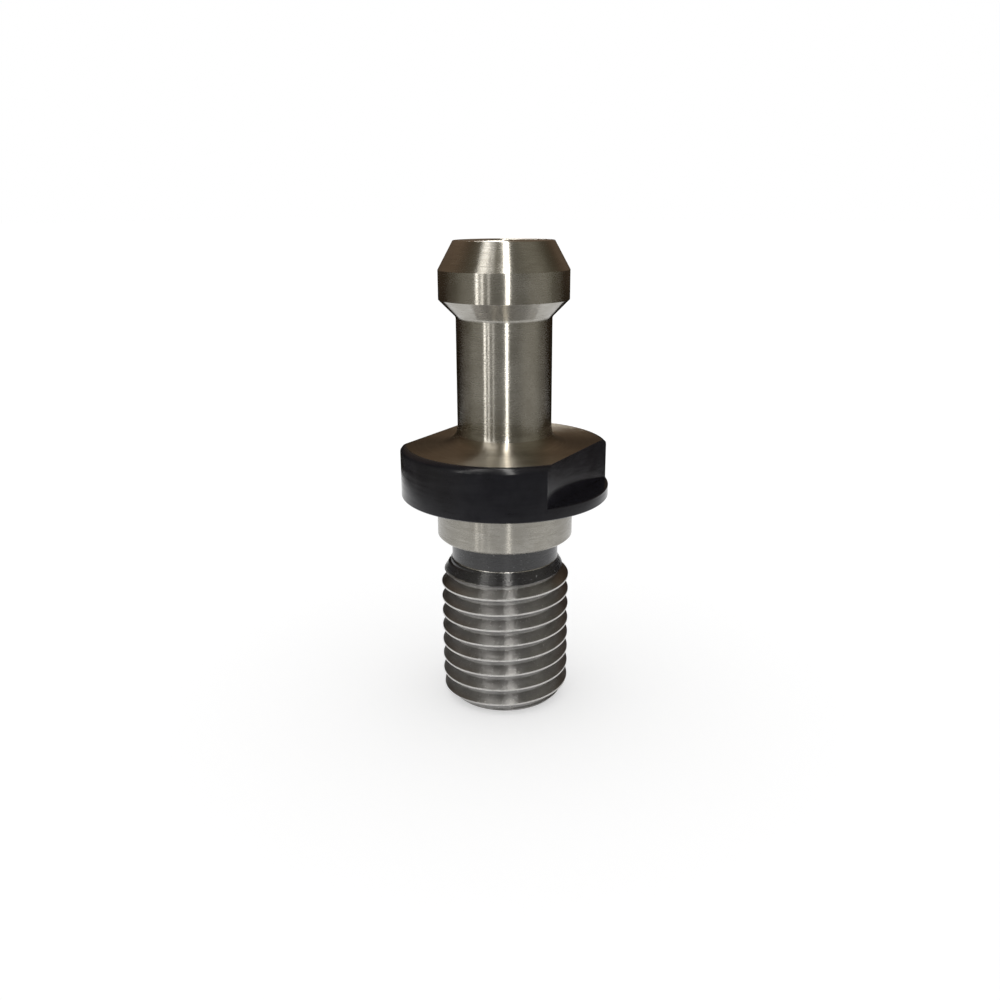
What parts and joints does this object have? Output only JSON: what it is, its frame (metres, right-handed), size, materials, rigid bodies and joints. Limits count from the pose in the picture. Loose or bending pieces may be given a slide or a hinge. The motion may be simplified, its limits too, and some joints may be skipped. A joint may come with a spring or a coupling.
{
  "type": "pull stud",
  "caption": "Pull stud for a steep-taper tool holder: a tapered gripping head on a plain neck, a round flange with wrench flats, a ground pilot and a coarse screw thread.",
  "frame": {"origin": "where the stud's axis meets the seat, the lower face of the flange", "axes": "+Z along the stud's axis towards the gripped head; the wrench flats face +X and -X"},
  "size_m": [0.038, 0.038, 0.085],
  "materials": {
    "steel": "turned and ground alloy steel, with a black oxide on the flange's rim and flats"
  },
  "bodies": {
    "root": {"pull_stud": "steel"}
  },
  "joints": []
}
